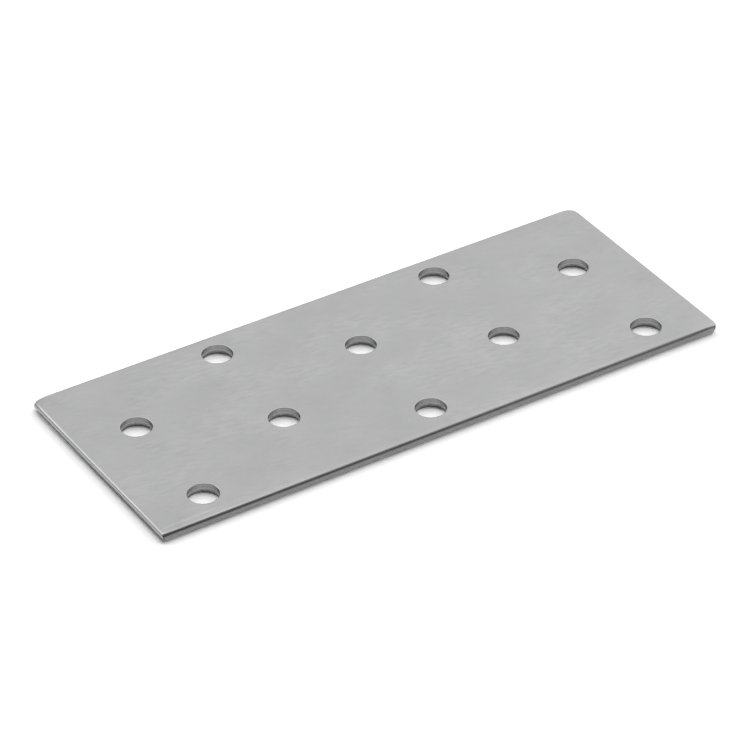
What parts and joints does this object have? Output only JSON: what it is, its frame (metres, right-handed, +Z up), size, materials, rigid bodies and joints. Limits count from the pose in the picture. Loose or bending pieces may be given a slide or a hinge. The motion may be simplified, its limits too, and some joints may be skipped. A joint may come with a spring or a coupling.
{
  "type": "mending plate",
  "caption": "Flat steel mending plate with rounded corners and staggered rows of nail holes, laid across a timber joint and nailed or screwed down.",
  "frame": {"origin": "middle of the underside, on the surface that the plate lies on", "axes": "+X along the plate's length, +Y across it to the edge that the holes lie nearer to, +Z up through its thickness"},
  "size_m": [0.1, 0.0406, 0.0018],
  "materials": {
    "galvanised_steel": "satin grey zinc coat, bare sheared edges"
  },
  "bodies": {
    "root": {"plate": "galvanised_steel"}
  },
  "joints": []
}
